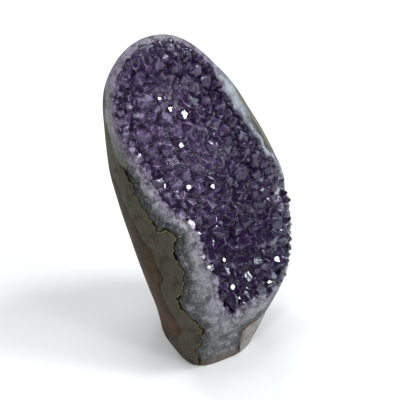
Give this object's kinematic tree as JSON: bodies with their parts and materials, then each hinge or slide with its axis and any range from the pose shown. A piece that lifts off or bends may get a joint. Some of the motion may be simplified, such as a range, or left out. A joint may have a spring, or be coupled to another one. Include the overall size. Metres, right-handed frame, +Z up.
{
  "type": "amethyst druse",
  "caption": "Free-standing polished geode piece: basalt back and flanks, grey agate band, and a leaning face crusted with amethyst points, on a flat sawn foot.",
  "frame": {"origin": "on the flat sawn foot, near its middle, on the surface that the stone stands on", "axes": "+Z up, -Y the crystal side, which leans back, +X to the right as seen from the crystal side"},
  "size_m": [0.0885, 0.0768, 0.15],
  "materials": {
    "basalt": "ground and polished grey-brown basalt, satin, with a lighter grey-green strip and rusty stains",
    "agate": "polished cloudy grey agate and quartz, with a sugary grain",
    "amethyst": "glossy clear to cloudy violet quartz, paler towards the rim and along the crystal edges"
  },
  "bodies": {
    "root": {"basalt_matrix": "basalt", "agate_band": "agate", "amethyst_crystals": "amethyst"}
  },
  "joints": []
}
